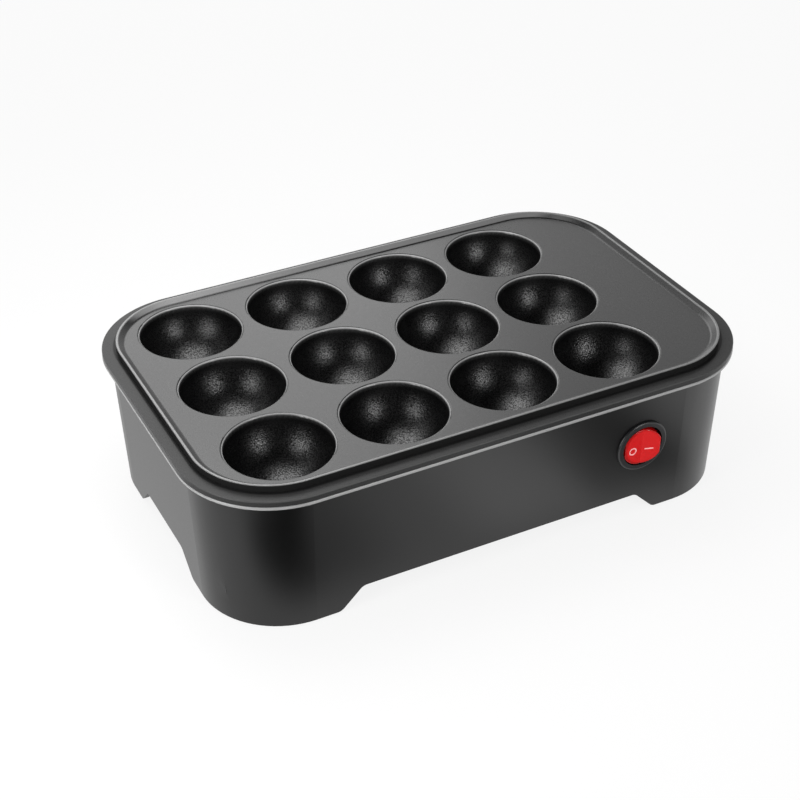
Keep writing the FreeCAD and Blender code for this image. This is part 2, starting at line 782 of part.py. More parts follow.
def cup_profile(sketch):
    """A half-round cup whose mouth rolls outward into the plate's top."""
    size, roll, level, top = val("cup_radius"), val("cup_round"), val("cup_level"), val("plate_level")
    point = FreeCAD.Vector
    axis = sketch.addGeometry(Part.LineSegment(point(0, top, 0), point(0, level - size, 0)), False)
    bowl = sketch.addGeometry(
        Part.ArcOfCircle(Part.Circle(point(0, level, 0), UP, size), -math.pi / 2, 0), False)
    mouth = sketch.addGeometry(
        Part.ArcOfCircle(Part.Circle(point(size + roll, level, 0), UP, roll), math.pi / 2, math.pi), False)
    lid = sketch.addGeometry(Part.LineSegment(point(size + roll, top, 0), point(0, top, 0)), False)
    sketch.addConstraint([
        Sketcher.Constraint("Coincident", axis, 2, bowl, 1),
        Sketcher.Constraint("Coincident", bowl, 2, mouth, 2),
        Sketcher.Constraint("Coincident", mouth, 1, lid, 1),
        Sketcher.Constraint("Coincident", lid, 2, axis, 1),
        Sketcher.Constraint("Vertical", axis),
    ])
    pin_point(sketch, axis, 1, "0", "plate_level")
    pin_point(sketch, bowl, 3, "0", "cup_level")
    pin_point(sketch, bowl, 2, "cup_radius", "cup_level")
    pin_point(sketch, mouth, 3, "cup_radius + cup_round", "cup_level")
    drive(sketch, "cup_radius + cup_round", "DistanceX", -1, 1, lid, 1)


# Bottom cover, rubber feet and the screws that join them to the housing

def make_base():
    body = new_body("bottom_cover")
    pad(body, outline(body, "cover", "cover_reach", "cover_base"), "cover_thick")
    supports = sketch_on(body, "XY_Plane", "clamp_bosses", "cover_top")
    support_pilots = sketch_on(body, "XY_Plane", "clamp_pilots", "gland_z")
    for across in SIDES:
        x = "gland_x + %s * cord_clamp_step" % across
        circle(supports, x, "cord_clamp_y", "bracket_boss")
        circle(support_pilots, x, "cord_clamp_y", "small_screw + screw_gap")
    pad(body, supports, "gland_z - cover_top")
    bed = sketch_on(body, "XY_Plane", "cord_bed", "cover_top")
    rectangle(bed, "gland_x", "cord_clamp_y", "bracket_boss", "cord_clamp_width / 2")
    pad(body, bed, "gland_z - cord_bed - cover_top")
    pocket(body, support_pilots, "gland_z - cover_top")
    pegs = sketch_on(body, "XY_Plane", "block_pegs", "cover_top")
    for across in SIDES:
        circle(pegs, "gland_x + %s * pole_pitch / 2" % across, "block_y", "small_screw")
    pad(body, pegs, "block_height / 2")
    holes = sketch_on(body, "XY_Plane", "cover_holes", "cover_top")
    for across, along in QUARTERS:
        circle(holes, across + " * post_x", along + " * post_y", "small_screw + loose_gap")
    pocket(body, holes, "cover_thick")
    vent = sketch_on(body, "XY_Plane", "vent", "cover_top")
    rectangle(vent, "vent_start", "-vent_row", "vent_width / 2", "vent_length / 2")
    vents = (("X_Axis", "vent_count", "vent_pitch"), ("Y_Axis", "2", "2 * vent_row"))
    grid(body, pocket(body, vent, "cover_thick"), "vents", vents)

    master = doc.addObject("PartDesign::Body", "foot_master")
    profile = sketch_on(master, "XZ_Plane", "foot_profile")
    shaft = "small_screw + loose_gap"
    polygon(profile, [
        (shaft, "pad_bore_depth"), ("pad_bore", "pad_bore_depth"), ("pad_bore", "0"),
        ("pad_base_radius", "0"), ("pad_top_radius", "cover_base"), (shaft, "cover_base"),
    ])
    revolve(master, profile)
    corners = [(across + " * post_x", along + " * post_y") for across, along in QUARTERS]
    group("rubber_feet", master, [corner + ("0",) for corner in corners])
    screw_master = screw("cover_screw", "small_screw", "cover_screw_length", "small_head",
                         "small_head_height")
    group("cover_screws", screw_master, [corner + ("pad_bore_depth",) for corner in corners])


def make_plate_fixings():
    spots = [(column, along + " * lug_y") for column in ("gap_left_x", "gap_right_x") for along in SIDES]
    master = screw("plate_screw", "plate_screw", "plate_screw_length", "plate_head", "plate_head_height")
    group("plate_screws", master, [spot + ("head_top",) for spot in spots])
    ring = cut("plate_washer", cylinder("washer_disc", "washer_radius", "washer_thick"),
               cylinder("washer_hole", "plate_screw + loose_gap", "washer_thick"))
    group("plate_washers", ring, [spot + ("head_top",) for spot in spots])


# Heating tube with its ends, straps and shield

def make_heater():
    body = new_body("heating_tube")
    legs = sketch_on(body, "YZ_Plane", "tube_legs", "first_col_x")
    for along in SIDES:
        circle(legs, along + " * tube_y", "tube_z", "tube_radius")
    bend = sketch_on(body, "YZ_Plane", "tube_bend", "first_col_x")
    circle(bend, "tube_y", "tube_z", "tube_radius")
    revolve(body, bend, turn=HALF_TURN)
    pad(body, legs, "tube_end_x - first_col_x")

    lie_x = "rotationy(90deg)"
    ends = [("tube_end_x", along + " * tube_y", "tube_z") for along in SIDES]
    bead = cut("bead", cylinder("bead_outside", "bead_radius", "bead_length", turn=lie_x),
               cylinder("bead_bore", "pin_radius + screw_gap", "bead_length", turn=lie_x))
    group("heater_insulators", bead, ends)
    pin = cylinder("heater_pin", "pin_radius", "pin_length", turn=lie_x)
    group("heater_pins", pin, ends)

    ears = box("strap_ears", "saddle_width", "saddle_length", "strap_thick", z="-strap_thick")
    outside = cylinder("strap_outside", "tube_radius + saddle_gap + strap_thick", "saddle_width",
                       x="-saddle_width / 2", turn=lie_x)
    inside = cylinder("strap_inside", "tube_radius + saddle_gap", "saddle_width",
                      x="-saddle_width / 2", turn=lie_x)
    above = box("strap_above", "saddle_width", "saddle_length", "saddle_length")
    holes = [cylinder("strap_hole_%d" % index, "clamp_screw + snug_gap", "strap_thick",
                      y=step + " * clamp_screw_step", z="-strap_thick") for index, step in enumerate(SIDES)]
    strap = cut("strap", fuse("strap_solid", [ears, outside]), fuse("strap_cuts", [inside, above] + holes))
    spots = [(column, along + " * tube_y") for column in ("gap_left_x", "gap_right_x") for along in SIDES]
    group("heater_clamps", strap, [spot + ("tube_z",) for spot in spots])
    master = screw("clamp_screw_master", "clamp_screw", "clamp_screw_length", "clamp_head",
                   "clamp_head_height")
    places = []
    for x, y in spots:
        for step in SIDES:
            places.append((x, "%s + %s * clamp_screw_step" % (y, step), "tube_z - strap_thick"))
    group("clamp_screws", master, places)


def make_shield():
    body = new_body("heat_shield")
    middle = "(shield_right - shield_left) / 2"
    half = "(shield_right + shield_left) / 2"
    sheet_outline = sketch_on(body, "XY_Plane", "shield_sheet", "shield_floor")
    rounded_rectangle(sheet_outline, half, "shield_half", "shield_corner", x=middle)
    pad(body, sheet_outline, "shield_thick")
    relief = sketch_on(body, "XY_Plane", "shield_relief", "shield_floor")
    rectangle(relief, "switch_x", "-shield_half", "shield_relief", "shield_relief_depth")
    pocket(body, relief, "shield_thick", flip=True)
    legs = sketch_on(body, "XY_Plane", "shield_legs", "shield_floor")
    tabs = sketch_on(body, "XY_Plane", "shield_tabs", "lug_base - shield_thick")
    reach = "(lug_y + shield_tab - shield_half + shield_thick) / 2"
    for column in ("gap_left_x", "gap_right_x"):
        for along in SIDES:
            leg_y = along + " * (shield_half - shield_thick / 2)"
            rectangle(legs, column, leg_y, "shield_tab", "shield_thick / 2")
            tab_y = "%s * (shield_half - shield_thick + %s)" % (along, reach)
            rectangle(tabs, column, tab_y, "shield_tab", reach)
            circle(tabs, column, along + " * lug_y", "plate_screw + loose_gap")
    pad(body, legs, "shield_depth")
    pad(body, tabs, "shield_thick")


# Thermostat, thermal fuse and earth tag, all screwed under the plate's right margin

def make_controls():
    node(cylinder("thermostat_cap", "cap_radius", "cap_height", "thermostat_x", "0", "cap_base"),
         "thermostat_cap")
    node(cylinder("thermostat_body", "phenolic_radius", "phenolic_height", "thermostat_x", "0",
                  "phenolic_base"), "thermostat_body")
    tab = box("thermostat_tab", "tab_thick", "tab_width", "tab_length")
    group("thermostat_terminals", tab,
          [("thermostat_x + %s * tab_step" % side, "0", "tab_end") for side in SIDES])
    plate = box("bracket_plate", "2 * bracket_width", "2 * bracket_half", "bracket_thick",
                "thermostat_x", "0", "cap_base - bracket_thick")
    holes = [cylinder("bracket_mouth", "phenolic_radius + screw_gap", "bracket_thick",
                      "thermostat_x", "0", "cap_base - bracket_thick")]
    for index, step in enumerate(SIDES):
        holes.append(cylinder("bracket_hole_%d" % index, "small_screw + snug_gap", "bracket_thick",
                              "thermostat_x", step + " * bracket_step", "cap_base - bracket_thick"))
    node(cut("thermostat_bracket", plate, fuse("bracket_holes", holes)), "thermostat_bracket")
    short = screw("short_screw", "small_screw", "short_screw_length", "small_head", "small_head_height")
    group("thermostat_screws", short,
          [("thermostat_x", step + " * bracket_step", "cap_base - bracket_thick") for step in SIDES])

    lie_y = "rotationx(-90deg)"
    can = cylinder("fuse_can", "fuse_radius", "fuse_length", "thermostat_x",
                   "fuse_y - fuse_length / 2", "fuse_z", lie_y)
    lead = cylinder("fuse_lead", "fuse_lead", "fuse_lead_length", "thermostat_x",
                    "fuse_y - fuse_lead_length / 2", "fuse_z", lie_y)
    node(fuse("thermal_fuse", [can, lead]), "thermal_fuse")
    clip_x = "thermostat_x + fuse_screw_step / 2"
    bar = box("clip_bar", "fuse_screw_step + 2 * bracket_boss", "clip_width", "tab_thick",
              clip_x, "fuse_y", "clip_top - tab_thick")
    clip_hole = cylinder("clip_hole", "small_screw + snug_gap", "tab_thick",
                         "thermostat_x + fuse_screw_step", "fuse_y", "clip_top - tab_thick")
    node(cut("fuse_clip", bar, clip_hole), "fuse_clip")
    stub = screw("stub_screw", "small_screw", "stub_screw_length", "small_head", "small_head_height")
    group("fuse_screw", stub, [("thermostat_x + fuse_screw_step", "fuse_y", "clip_top - tab_thick")])
    tag = box("earth_bar", "3 * bracket_boss", "2 * bracket_boss", "tab_thick",
              "thermostat_x + bracket_boss / 2", "-earth_y", "earth_seat - tab_thick")
    tag_hole = cylinder("earth_hole", "small_screw + snug_gap", "tab_thick",
                        "thermostat_x", "-earth_y", "earth_seat - tab_thick")
    node(cut("earth_tag", tag, tag_hole), "earth_tag")
    group("earth_screw", stub, [("thermostat_x", "-earth_y", "earth_seat - tab_thick")])


# Round rocker switch, set square to the leaning front wall. Its own y runs into the housing.

LEAN_TURN = "rotationx(draft * 1deg)"


def on_switch(thing, depth="0", turn=None):
    """Places a piece whose origin lies on the switch's axis at a depth behind the wall's face."""
    whole = LEAN_TURN if turn is None else LEAN_TURN + " * rotationz(%s * 1deg)" % turn
    return place(thing, "switch_x", "switch_y + (%s) * cos(draft * 1deg)" % depth,
                 "switch_z + (%s) * sin(draft * 1deg)" % depth, whole)


def make_switch_frame():
    body = new_body("switch_frame")
    ring = sketch_on(body, "XY_Plane", "frame_profile")
    polygon(ring, [
        ("opening_radius", "-bezel_rise"), ("bezel_radius", "-bezel_rise"), ("bezel_radius", "0"),
        ("barrel_radius", "0"), ("barrel_radius", "barrel_depth"), ("0", "barrel_depth"),
        ("0", "barrel_depth - barrel_back"), ("opening_radius", "barrel_depth - barrel_back"),
    ])
    revolve(body, ring)
    face, rim = val("-bezel_rise"), val("bezel_radius")

    def bezel_edge(edge):
        extent = edge.BoundBox
        flat = abs(extent.YMin - face) < CLOSE and abs(extent.YMax - face) < CLOSE
        return flat and extent.XMax > rim - CLOSE

    fillet(body, "bezel_round", bezel_edge)
    clips = sketch_on(body, "XY_Plane", "clips")
    root = "barrel_radius - clip_reach / 3"
    start = "wall_thick + clip_gap"
    for side in SIDES:
        points = [("%s * (%s)" % (side, root), start),
                  ("%s * (barrel_radius + clip_reach)" % side, start),
                  ("%s * (%s)" % (side, root), start + " + clip_length")]
        polygon(clips, points)
    pad(body, clips, "clip_length", both=True)
    sockets = sketch_on(body, "XY_Plane", "pivot_sockets")
    circle(sockets, "0", "pivot_depth", "pivot_radius + pivot_gap")
    pocket(body, sockets, both=True)
    slots = sketch_on(body, "XZ_Plane", "terminal_slots", "-barrel_depth")
    for across in ("-tag_step", "0", "tag_step"):
        rectangle(slots, across, "0", "ear_thick / 2 + screw_gap", "tag_width / 2 + screw_gap")
    pocket(body, slots, "barrel_back", flip=True)
    cradle = sketch_on(body, "XZ_Plane", "lamp_cradle", "barrel_back - barrel_depth")
    for across in SIDES:
        rectangle(cradle, across + " * lamp_length / 3", "lamp_rise", "ear_thick / 2", "lamp_radius")
        rectangle(cradle, across + " * resistor_length / 3", "-lamp_rise", "ear_thick / 2",
                  "resistor_radius")
    pad(body, cradle, "barrel_depth - barrel_back - lamp_depth - lamp_radius")
    on_switch(body)


def make_rocker():
    """The rocker's origin is its pivot; its own y runs into the switch."""
    body = new_body("switch_rocker")
    disc = sketch_on(body, "XZ_Plane", "rocker_disc", "-rocker_back + pivot_depth")
    circle(disc, "0", "0", "rocker_radius")
    pad(body, disc, "rocker_back + rocker_lip + rocker_stock")
    trim = sketch_on(body, "XY_Plane", "rocker_trim")
    rectangle(trim, "0", "0", "2 * rocker_sweep", "2 * rocker_sweep")
    rocker_profile(trim)
    pocket(body, trim, both=True)
    inside, front = val("rocker_radius - rocker_edge_band"), -val("pivot_depth")

    def rocker_edge(edge):
        middle = edge.valueAt((edge.FirstParameter + edge.LastParameter) / 2)
        return math.hypot(middle.x, middle.z) > inside and middle.y < front

    fillet(body, "rocker_edge_round", rocker_edge)
    bush = sketch_on(body, "XZ_Plane", "bush", "pivot_depth - bush_end")
    circle(bush, "0", "0", "bush_radius")
    pad(body, bush, "bush_end - bush_bore_top")
    bore = sketch_on(body, "XZ_Plane", "bush_bore", "pivot_depth - bush_end")
    circle(bore, "0", "0", "bush_bore")
    pocket(body, bore, "bush_end - bush_bore_top", flip=True)
    pivots = sketch_on(body, "XY_Plane", "pivots", "rocker_radius - pivot_root")
    circle(pivots, "0", "0", "pivot_radius")
    pad(body, pivots, "pivot_length - rocker_radius + pivot_root")
    lower = sketch_on(body, "XY_Plane", "lower_pivot", "pivot_root - rocker_radius")
    circle(lower, "0", "0", "pivot_radius")
    pad(body, lower, "pivot_length - rocker_radius + pivot_root", flip=True)
    on_switch(body, "pivot_depth", "-rocker_tilt")


def rocker_profile(sketch):
    """The rocker seen from above: a shallow V in front, sides round the pivot, a flat back."""
    front, valley = "-(pivot_depth + rocker_lip)", "-(pivot_depth + rocker_valley)"
    back = "rocker_back - pivot_depth"
    front_x = "sqrt(rocker_sweep ^ 2 - (pivot_depth + rocker_lip) ^ 2)"
    back_x = "sqrt(rocker_sweep ^ 2 - (rocker_back - pivot_depth) ^ 2)"
    point = FreeCAD.Vector
    left_front, right_front = point(-val(front_x), val(front), 0), point(val(front_x), val(front), 0)
    left_back, right_back = point(-val(back_x), val(back), 0), point(val(back_x), val(back), 0)
    dip = point(0, val(valley), 0)
    rim = Part.Circle(point(0, 0, 0), UP, val("rocker_sweep"))
    low = math.atan2(val(front), val(front_x))
    high = math.atan2(val(back), val(back_x))
    lines = [
        sketch.addGeometry(Part.LineSegment(left_front, dip), False),
        sketch.addGeometry(Part.LineSegment(dip, right_front), False),
    ]
    right = sketch.addGeometry(Part.ArcOfCircle(rim, low, high), False)
    rear = sketch.addGeometry(Part.LineSegment(right_back, left_back), False)
    left = sketch.addGeometry(Part.ArcOfCircle(rim, math.pi - high, math.pi - low), False)
    sketch.addConstraint([
        Sketcher.Constraint("Coincident", lines[0], 2, lines[1], 1),
        Sketcher.Constraint("Coincident", lines[1], 2, right, 1),
        Sketcher.Constraint("Coincident", right, 2, rear, 1),
        Sketcher.Constraint("Coincident", rear, 2, left, 1),
        Sketcher.Constraint("Coincident", left, 2, lines[0], 1),
        Sketcher.Constraint("Coincident", right, 3, -1, 1),
        Sketcher.Constraint("Coincident", left, 3, -1, 1),
        Sketcher.Constraint("Equal", left, right),
        Sketcher.Constraint("Horizontal", rear),
    ])
    pin_point(sketch, lines[1], 1, "0", valley)
    drive(sketch, back, "DistanceY", -1, 1, rear, 1)
    drive(sketch, front, "DistanceY", -1, 1, right, 1)
    drive(sketch, front, "DistanceY", -1, 1, left, 2)
    drive(sketch, "rocker_sweep", "Radius", right)


def make_switch_inside():
    body = new_body("rocker_plunger")
    profile = sketch_on(body, "XY_Plane", "plunger_profile")
    tip = "plunger_tip - plunger_radius"
    polygon(profile, [("0", "plunger_seat - pivot_depth"), ("plunger_radius", "plunger_seat - pivot_depth"),
                      ("plunger_radius", tip),
                      ("plunger_radius * tip_share", tip + " + plunger_radius * tip_share"),
                      ("0", "plunger_tip")])
    revolve(body, profile)
    on_switch(body, "pivot_depth", "-rocker_tilt")

    turns = val("spring_turns")
    seat, top = val("plunger_seat - pivot_depth"), val("bush_bore_top - pivot_depth")
    wire = val("spring_wire")
    length = seat - top - 2 * wire - val("snug_gap")
    helix = Part.makeLongHelix(length / turns, length, val("spring_radius"), 0, False)
    ring = Part.makeCircle(wire, FreeCAD.Vector(val("spring_radius"), 0, 0), FreeCAD.Vector(0, 1, 0))
    coil = Part.Wire(helix.Edges).makePipeShell([Part.Wire(ring)], True, True)
    spring = doc.addObject("Part::Feature", "spring_coil")
    spring.Shape = coil
    place(spring, "0", "bush_bore_top - pivot_depth + spring_wire + screw_gap", "0", "rotationx(-90deg)")
    node(on_switch(relink("plunger_spring", spring), "pivot_depth", "-rocker_tilt"), "plunger_spring")

    blade = new_body("contact_blade")
    strip = sketch_on(blade, "XY_Plane", "blade_strip")
    rectangle(strip, "0", "-blade_thick / 2", "blade_half", "blade_thick / 2")
    pad(blade, strip, "blade_width", both=True)
    bead = sketch_on(blade, "XY_Plane", "blade_bead")
    circle(bead, "0", "0", "bead_pin")
    pad(blade, bead, "bead_pin_length", both=True)
    on_switch(blade, "blade_back", "blade_tilt")

    ears = []
    for index, side in enumerate(SIDES):
        middle = "(barrel_depth - barrel_back + blade_back - 2 * bead_pin) / 2"
        level = "%s * (blade_width / 2 + ear_gap + ear_thick / 2) - ear_thick / 2" % side
        ears.append(box("ear_%d" % index, "4 * bead_pin",
                        "barrel_depth - barrel_back - blade_back + 2 * bead_pin", "ear_thick",
                        y=middle, z=level))
    bore = cylinder("ear_bore", "bead_pin + pivot_gap", "4 * blade_width", y="blade_back",
                    z="-2 * blade_width")
    ears_cut = cut("ears", fuse("ear_pair", ears), bore)
    tag = box("common_tag", "ear_thick", "tag_end - contact_face", "tag_width",
              y="(tag_end + contact_face) / 2", z="-tag_width / 2")
    common = fuse("common_terminal", [ears_cut, tag])
    load_tag = box("load_tag", "ear_thick", "tag_end - contact_face", "tag_width",
                   x="-tag_step", y="(tag_end + contact_face) / 2", z="-tag_width / 2")
    lamp_tag = box("lamp_tag", "ear_thick", "tag_end - contact_face", "tag_width",
                   x="tag_step", y="(tag_end + contact_face) / 2", z="-tag_width / 2")
    tags = [on_switch(thing) for thing in (common, relink("load_terminal", load_tag),
                                           relink("lamp_terminal", lamp_tag))]
    collect("switch_terminals", tags)

    lie_x = "rotationy(90deg)"
    lamp = cylinder("lamp_glass", "lamp_radius", "lamp_length", "-lamp_length / 2", "lamp_depth",
                    "lamp_rise", lie_x)
    node(on_switch(relink("switch_lamp", lamp)), "switch_lamp")
    resistor = cylinder("resistor_body", "resistor_radius", "resistor_length", "-resistor_length / 2",
                        "lamp_depth + lamp_radius - resistor_radius", "-lamp_rise", lie_x)
    node(on_switch(relink("lamp_resistor", resistor)), "lamp_resistor")


def relink(name, thing):
    """A compound of one, so that a piece drawn in the switch's own frame can be placed as a whole."""
    whole = doc.addObject("Part::Compound", name)
    whole.Links = [thing]
    return whole


# Cord inlet: gland, inner clamp, terminal block

def make_inlet():
    body = new_body("cord_gland")
    profile = sketch_on(body, "XY_Plane", "gland_profile")
    inner = "-wall_thick / cos(draft * 1deg) - loose_gap"
    polygon(profile, [
        ("gland_bore", "gland_lip"), ("gland_flange - gland_lip / 2", "gland_lip"),
        ("gland_flange", "screw_gap"), ("gland_neck", "screw_gap"),
        ("gland_neck", inner), ("gland_neck + gland_snap", inner),
        ("gland_neck", inner + " - gland_tail"), ("gland_bore", inner + " - gland_tail"),
    ])
    revolve(body, profile)
    place(body, "gland_x", "gland_wall_y", "gland_z", "rotationx(-draft * 1deg)")

    bar = box("clamp_bar", "2 * cord_clamp_half", "cord_clamp_width", "cord_clamp_height",
              "gland_x", "cord_clamp_y", "gland_z")
    cuts = [cylinder("clamp_groove", "cord_bed", "cord_clamp_width", "gland_x",
                     "cord_clamp_y - cord_clamp_width / 2", "gland_z", "rotationx(-90deg)")]
    for index, side in enumerate(SIDES):
        cuts.append(cylinder("clamp_hole_%d" % index, "small_screw + snug_gap", "cord_clamp_height",
                             "gland_x + %s * cord_clamp_step" % side, "cord_clamp_y", "gland_z"))
    node(cut("cord_clamp", bar, fuse("clamp_cuts", cuts)), "cord_clamp")
    driven = screw("clamp_bar_screw", "small_screw", "bar_screw_length", "small_head",
                   "small_head_height")
    over = "rotationx(180deg)"
    group("cord_clamp_screws", driven,
          [("gland_x + %s * cord_clamp_step" % side, "cord_clamp_y", "gland_z + cord_clamp_height", over)
           for side in SIDES])

    block = box("block_body", "block_length", "block_width", "block_height",
                "gland_x", "block_y", "cover_top")
    holes = []
    for index in (-1, 0, 1):
        pole = "gland_x + %d * pole_pitch" % index
        holes.append(cylinder("pole_bore_%d" % (index + 1), "wire_radius + pole_gap", "block_width", pole,
                              "block_y - block_width / 2", "pole_z", "rotationx(-90deg)"))
        holes.append(cylinder("pole_shaft_%d" % (index + 1), "block_screw + screw_gap",
                              "block_height - wire_height", pole, "block_y", "pole_z"))
    for index, side in enumerate(SIDES):
        holes.append(cylinder("peg_hole_%d" % index, "small_screw + screw_gap", "block_height",
                              "gland_x + %s * pole_pitch / 2" % side, "block_y", "cover_top"))
    node(cut("terminal_block", block, fuse("block_holes", holes)), "terminal_block")
    length = "block_height - wire_height - wire_radius - 2 * slug_gap"
    slug = cylinder("slug", "block_screw", length)
    notch = box("slug_slot", "2 * block_screw", "block_screw / 3", "slug_notch", z=length + " - slug_notch")
    group("terminal_screws", cut("terminal_screw", slug, notch),
          [("gland_x + %d * pole_pitch" % index, "block_y", "pole_z + wire_radius + slug_gap")
           for index in (-1, 0, 1)])


# Wires: straight runs joined by tangent arcs

def wire_run(name, points):
    corners = [FreeCAD.Vector(val(x), val(y), val(z)) for x, y, z in points]
    edges = []
    start = corners[0]
    for before, corner, after in zip(corners, corners[1:], corners[2:]):
        inward, outward = corner - before, after - corner
        turn = inward.getAngle(outward)
        room = val("wire_room") * min(inward.Length, outward.Length)
        trim = min(room, val("wire_bend") * math.tan(turn / 2))
        inward.normalize()
        outward.normalize()
        first, last = corner - inward * trim, corner + outward * trim
        radius = trim / math.tan(turn / 2)
        bisector = outward - inward
        bisector.normalize()
        centre = corner + bisector * math.hypot(radius, trim)
        towards = corner - centre
        towards.normalize()
        edges.append(Part.LineSegment(start, first).toShape())
        edges.append(Part.Arc(first, centre + towards * radius, last).toShape())
        start = last
    edges.append(Part.LineSegment(start, corners[-1]).toShape())
    path = Part.Wire(edges)
    ring = Part.makeCircle(val("wire_radius"), corners[0], corners[1] - corners[0])
    thing = doc.addObject("Part::Feature", name)
    thing.Shape = path.makePipeShell([Part.Wire(ring)], True, False)
    return node(thing, name)


def switch_tag(step):
    """The end of a switch terminal, as a point for a wire to start from."""
    depth = "(tag_end + wire_gap)"
    return ("switch_x + " + step, "switch_y + %s * cos(draft * 1deg)" % depth,
            "switch_z + %s * sin(draft * 1deg)" % depth)


def behind(step, fall):
    x, y, z = switch_tag(step)
    return (x, y + " + tag_run", z + " - " + fall)


def make_wires():
    front = "block_front"
    left_pole, right_pole = "gland_x - pole_pitch", "gland_x + pole_pitch"
    left_tab, right_tab = "thermostat_x - tab_step", "thermostat_x + tab_step"
    lead_start, lead_end = "fuse_y - fuse_lead_length / 2", "fuse_y + fuse_lead_length / 2"
    pin_tip, pin_clear = "tube_end_x + pin_length + wire_gap", "tube_end_x + pin_length + end_run"
    wire_run("live_wire", [
        (left_pole, front, "pole_z"), (left_pole, front + " - live_run", "pole_z"),
        ("switch_x - tag_step", "switch_y + tag_end + live_turn", "pole_z + wire_lift"),
        behind("(-tag_step)", "tag_fall"), switch_tag("(-tag_step)"),
    ])
    wire_run("switched_wire", [
        switch_tag("0"), behind("0", "tag_fall"),
        (left_tab + " - tab_run", "-switched_turn", "tab_end - end_run"),
        (left_tab, "-cap_radius", "tab_end - tab_run"),
        (left_tab, "0", "tab_end - tab_run"), (left_tab, "0", "tab_end - wire_gap"),
    ])
    wire_run("fuse_wire", [
        (right_tab, "0", "tab_end - wire_gap"), (right_tab, "0", "tab_end - tab_run"),
        ("thermostat_x + phenolic_radius", "fuse_bend_near", "tab_end - tab_run"),
        ("thermostat_x + phenolic_radius", "fuse_bend_middle", "fuse_z - phenolic_height"),
        ("thermostat_x", "fuse_bend_far", "fuse_z"),
        ("thermostat_x", lead_start + " - wire_gap", "fuse_z"),
    ])
    wire_run("heater_wire", [
        ("thermostat_x", lead_end + " + wire_gap", "fuse_z"),
        ("thermostat_x", lead_end + " + end_run", "fuse_z"),
        ("thermostat_x + heater_step", lead_end + " + wire_bend", "fuse_z - heater_fall"),
        (pin_clear, "tube_y + heater_turn", "tube_z"),
        (pin_clear, "tube_y", "tube_z"), (pin_tip, "tube_y", "tube_z"),
    ])
    wire_run("neutral_wire", [
        ("gland_x", front, "pole_z"), ("gland_x", front + " - neutral_run", "pole_z"),
        ("thermostat_x - end_run", "-bracket_step", "pole_z"),
        (pin_clear, "-neutral_turn", "tube_z - neutral_fall"),
        (pin_clear, "-tube_y", "tube_z"), (pin_tip, "-tube_y", "tube_z"),
    ])
    wire_run("lamp_wire", [
        ("gland_x - lamp_step", front, "pole_z - lamp_sink"),
        ("gland_x - lamp_step", front + " - lamp_run", "pole_z - lamp_sink"),
        ("switch_x + tag_step", "-lamp_turn", "pole_z"),
        behind("tag_step", "lamp_fall"), switch_tag("tag_step"),
    ])
    tag_level = "earth_seat - tab_thick / 2"
    wire_run("earth_wire", [
        (right_pole, front, "pole_z"), (right_pole, front + " - earth_run", "pole_z"),
        ("thermostat_x + earth_step", "-earth_turn", "pole_z - wire_lift"),
        ("thermostat_x + bracket_step", "-earth_y", "pole_z + earth_climb"),
        ("thermostat_x + bracket_step", "-earth_y", tag_level),
        ("thermostat_x + 2 * bracket_boss + wire_gap", "-earth_y", tag_level),
    ])


make_housing()
make_cooking_plate()
make_base()
make_plate_fixings()
make_heater()
make_shield()
make_controls()
make_switch_frame()
make_rocker()
make_switch_inside()
make_inlet()
make_wires()
doc.recompute()

# Nothing is written unless every object is sound and every cut has taken something away
for thing in doc.Objects:
    if "Invalid" in thing.State or "Error" in thing.State:
        raise RuntimeError("%s failed: %s" % (thing.Label, thing.State))
for feature in CUTS:
    base = feature.getPropertyByName("BaseFeature")
    if base is not None and feature.Shape.Volume > base.Shape.Volume - 1e-6:
        raise RuntimeError(feature.Name + " cuts nothing")
for thing in NODES:
    if thing.Shape.isNull() or not thing.Shape.isValid() or not thing.Shape.Solids:
        raise RuntimeError(thing.Label + " has no sound solid")

os.makedirs("parts", exist_ok=True)
for thing in NODES:
    thing.Shape.exportStep("parts/%s.step" % thing.Label)
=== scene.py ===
import bpy
import bmesh
import json
import math
from mathutils import Matrix, Vector


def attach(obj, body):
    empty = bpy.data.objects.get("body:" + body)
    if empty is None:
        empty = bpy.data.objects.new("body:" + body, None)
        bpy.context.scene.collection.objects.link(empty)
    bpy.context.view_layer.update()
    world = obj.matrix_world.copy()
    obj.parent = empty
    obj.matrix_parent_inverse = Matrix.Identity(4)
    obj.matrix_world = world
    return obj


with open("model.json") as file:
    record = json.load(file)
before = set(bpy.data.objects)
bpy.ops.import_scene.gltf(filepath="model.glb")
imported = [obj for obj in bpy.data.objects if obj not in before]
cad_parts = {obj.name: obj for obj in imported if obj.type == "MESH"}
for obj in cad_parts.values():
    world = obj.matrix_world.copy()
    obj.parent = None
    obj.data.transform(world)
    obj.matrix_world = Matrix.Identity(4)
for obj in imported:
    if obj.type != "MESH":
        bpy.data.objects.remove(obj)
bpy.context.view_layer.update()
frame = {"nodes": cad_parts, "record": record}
scene = bpy.context.scene
nodes = frame["nodes"]

# Sizes of the shapes that the finishes and the rocker's marks follow, in metres
PLATE_HALF = (0.114125, 0.0728)
PLATE_CORNER = 0.0328
PLATE_LEVEL = 0.0647
LIP_RISE = 0.0015
LEDGE_DROP = 0.0017
CUP_RADIUS = 0.021
CUP_START = (-0.081625, -0.04586)
CUP_PITCH = (0.04785, 0.04586)
CUP_LAST = (3.0, 2.0)
RIM_BASE = 0.0597
SWITCH_AT = Vector((0.061925, -0.074629, 0.0356))
WALL_LEAN = math.radians(1.94)
PIVOT_DEPTH = 0.002
ROCKER_TILT = math.radians(-9.0)
ROCKER_VALLEY = 0.0032
WING_SLOPE = 0.1672


# Camera: a long lens from the front left and above

